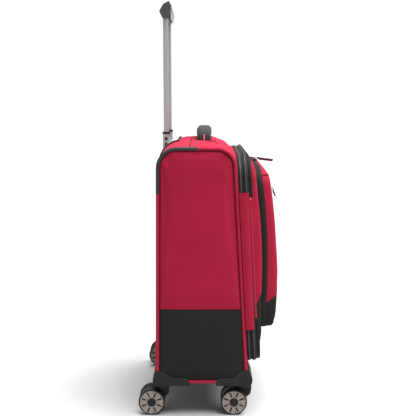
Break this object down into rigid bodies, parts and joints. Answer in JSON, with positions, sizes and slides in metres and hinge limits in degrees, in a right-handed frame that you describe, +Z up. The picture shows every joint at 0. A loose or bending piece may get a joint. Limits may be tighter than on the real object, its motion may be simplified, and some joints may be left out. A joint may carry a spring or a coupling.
{
  "type": "softside upright suitcase",
  "caption": "Fabric upright suitcase on swivelling twin-wheel casters, with a telescopic pull handle, a hinged zip lid, an expansion gusset and a front pocket.",
  "frame": {"origin": "on the floor, under the middle of the whole object's box", "axes": "+Z up, +Y towards the back where the pull handle is, -Y the front with the pocket, X across the width"},
  "size_m": [0.367, 0.2842, 0.8379],
  "materials": {
    "red_fabric": "plain woven polyester, matt",
    "black_fabric": "plain woven polyester, matt",
    "zip_tape": "nylon coil zip tape",
    "webbing": "woven nylon webbing",
    "frame_board": "extruded board",
    "black_plastic": "fine textured",
    "silver_plastic": "satin",
    "aluminium_tube": "brushed, anodised",
    "steel": "satin",
    "zip_metal": "black paint",
    "wheel_tyre": "soft polyurethane"
  },
  "bodies": {
    "case": {"top_panel": "red_fabric", "back_panel": "red_fabric", "bottom_panel": "black_fabric", "handle_bezel": "black_plastic", "side_panel_left": "red_fabric", "side_panel_right": "red_fabric", "side_base_left": "black_fabric", "side_base_right": "black_fabric", "piping": "red_fabric", "corner_bumpers": "webbing", "frame_hoop": "frame_board", "back_board": "frame_board", "expansion_zip": "zip_tape", "outer_tubes": "aluminium_tube", "tube_collars": "black_plastic", "tube_rivets": "steel", "tube_foot": "black_plastic", "swivel_kingpins": "steel", "corner_guard_rear_left": "black_plastic", "corner_guard_rear_right": "black_plastic", "corner_guard_front_left": "black_plastic", "corner_guard_front_right": "black_plastic"},
    "pull_handle": {"inner_tubes": "aluminium_tube", "grip_shell": "black_plastic", "grip_fascia": "silver_plastic", "lock_bolts": "black_plastic", "button_spring": "steel"},
    "button": {"release_button": "black_plastic", "push_rods": "black_plastic"},
    "top_handle": {"carry_handle": "webbing"},
    "side_grip": {"side_handle": "webbing"},
    "expander": {"expansion_gusset": "zip_tape"},
    "main_zip_slider": {"main_slider": "zip_metal"},
    "main_zip_pull": {"main_pull": "webbing"},
    "lid": {"lid_panel": "red_fabric", "lid_base": "black_fabric", "pocket_zip": "zip_tape", "pocket_slider": "zip_metal"},
    "pocket": {"pocket_front": "red_fabric", "pocket_base": "black_fabric"},
    "pocket_zip_pull": {"pocket_pull": "webbing"},
    "front_zip_slider": {"front_slider": "zip_metal"},
    "front_zip_pull": {"front_pull": "webbing"},
    "caster_rear_left": {"fork_rear_left": "black_plastic", "axle_rear_left": "steel"},
    "wheel_rear_left_outer": {"wheel_rear_left_outer": "wheel_tyre"},
    "wheel_rear_left_inner": {"wheel_rear_left_inner": "wheel_tyre"},
    "caster_rear_right": {"fork_rear_right": "black_plastic", "axle_rear_right": "steel"},
    "wheel_rear_right_outer": {"wheel_rear_right_outer": "wheel_tyre"},
    "wheel_rear_right_inner": {"wheel_rear_right_inner": "wheel_tyre"},
    "caster_front_left": {"fork_front_left": "black_plastic", "axle_front_left": "steel"},
    "wheel_front_left_outer": {"wheel_front_left_outer": "wheel_tyre"},
    "wheel_front_left_inner": {"wheel_front_left_inner": "wheel_tyre"},
    "caster_front_right": {"fork_front_right": "black_plastic", "axle_front_right": "steel"},
    "wheel_front_right_outer": {"wheel_front_right_outer": "wheel_tyre"},
    "wheel_front_right_inner": {"wheel_front_right_inner": "wheel_tyre"}
  },
  "joints": [
    {"name": "handle_slide", "type": "slide", "parent": "case", "child": "pull_handle", "axis": [0, 0, 1], "range_m": [-0.222, 0.17]},
    {"name": "button_press", "type": "slide", "parent": "pull_handle", "child": "button", "axis": [0, 0, -1], "range_m": [0, 0.003], "stiffness_N_per_m": 900, "springref_m": -0.002, "deforming": ["button_spring"]},
    {"name": "top_handle_lift", "type": "slide", "parent": "case", "child": "top_handle", "axis": [0, 0, 1], "range_m": [0, 0.018]},
    {"name": "side_handle_lift", "type": "slide", "parent": "case", "child": "side_grip", "axis": [1, 0, 0], "range_m": [0, 0.018], "stiffness_N_per_m": 250},
    {"name": "expansion_slide", "type": "slide", "parent": "case", "child": "expander", "axis": [0, -0.9984, 0.0563], "range_m": [0, 0.045]},
    {"name": "lid_hinge", "type": "hinge", "parent": "expander", "child": "lid", "pos_m": [0, -0.09798, 0.10986], "axis": [1, 0, 0], "range_deg": [0, 90]},
    {"name": "pocket_hinge", "type": "hinge", "parent": "lid", "child": "pocket", "pos_m": [0, -0.12579, 0.18154], "axis": [1, 0, 0], "range_deg": [0, 45]},
    {"name": "pocket_pull_hinge", "type": "hinge", "parent": "lid", "child": "pocket_zip_pull", "pos_m": [0, -0.1045, 0.5133], "axis": [-1, 0, 0], "range_deg": [0, 100]},
    {"name": "front_zip_run", "type": "slide", "parent": "pocket", "child": "front_zip_slider", "axis": [1, 0, 0], "range_m": [0, 0.14]},
    {"name": "front_pull_hinge", "type": "hinge", "parent": "front_zip_slider", "child": "front_zip_pull", "pos_m": [-0.07, -0.13414, 0.45495], "axis": [-1, 0, 0], "range_deg": [0, 150]},
    {"name": "main_zip_run", "type": "slide", "parent": "expander", "child": "main_zip_slider", "axis": [0, 0.0563, 0.9984], "range_m": [-0.27, 0.04]},
    {"name": "main_pull_hinge", "type": "hinge", "parent": "main_zip_slider", "child": "main_zip_pull", "pos_m": [0.1798, -0.07655, 0.43016], "axis": [0, -0.9984, 0.0563], "range_deg": [0, 150]},
    {"name": "swivel_rear_left", "type": "hinge", "parent": "case", "child": "caster_rear_left", "pos_m": [-0.1465, 0.0945, 0.055], "axis": [0, 0, 1], "continuous": true},
    {"name": "spin_rear_left_outer", "type": "hinge", "parent": "caster_rear_left", "child": "wheel_rear_left_outer", "pos_m": [-0.1465, 0.115, 0.027], "axis": [1, 0, 0], "continuous": true},
    {"name": "spin_rear_left_inner", "type": "hinge", "parent": "caster_rear_left", "child": "wheel_rear_left_inner", "pos_m": [-0.1465, 0.115, 0.027], "axis": [1, 0, 0], "continuous": true},
    {"name": "swivel_rear_right", "type": "hinge", "parent": "case", "child": "caster_rear_right", "pos_m": [0.1465, 0.0945, 0.055], "axis": [0, 0, 1], "continuous": true},
    {"name": "spin_rear_right_outer", "type": "hinge", "parent": "caster_rear_right", "child": "wheel_rear_right_outer", "pos_m": [0.1465, 0.115, 0.027], "axis": [1, 0, 0], "continuous": true},
    {"name": "spin_rear_right_inner", "type": "hinge", "parent": "caster_rear_right", "child": "wheel_rear_right_inner", "pos_m": [0.1465, 0.115, 0.027], "axis": [1, 0, 0], "continuous": true},
    {"name": "swivel_front_left", "type": "hinge", "parent": "case", "child": "caster_front_left", "pos_m": [-0.1465, -0.0735, 0.055], "axis": [0, 0, 1], "continuous": true},
    {"name": "spin_front_left_outer", "type": "hinge", "parent": "caster_front_left", "child": "wheel_front_left_outer", "pos_m": [-0.1465, -0.053, 0.027], "axis": [1, 0, 0], "continuous": true},
    {"name": "spin_front_left_inner", "type": "hinge", "parent": "caster_front_left", "child": "wheel_front_left_inner", "pos_m": [-0.1465, -0.053, 0.027], "axis": [1, 0, 0], "continuous": true},
    {"name": "swivel_front_right", "type": "hinge", "parent": "case", "child": "caster_front_right", "pos_m": [0.1465, -0.0735, 0.055], "axis": [0, 0, 1], "continuous": true},
    {"name": "spin_front_right_outer", "type": "hinge", "parent": "caster_front_right", "child": "wheel_front_right_outer", "pos_m": [0.1465, -0.053, 0.027], "axis": [1, 0, 0], "continuous": true},
    {"name": "spin_front_right_inner", "type": "hinge", "parent": "caster_front_right", "child": "wheel_front_right_inner", "pos_m": [0.1465, -0.053, 0.027], "axis": [1, 0, 0], "continuous": true}
  ]
}
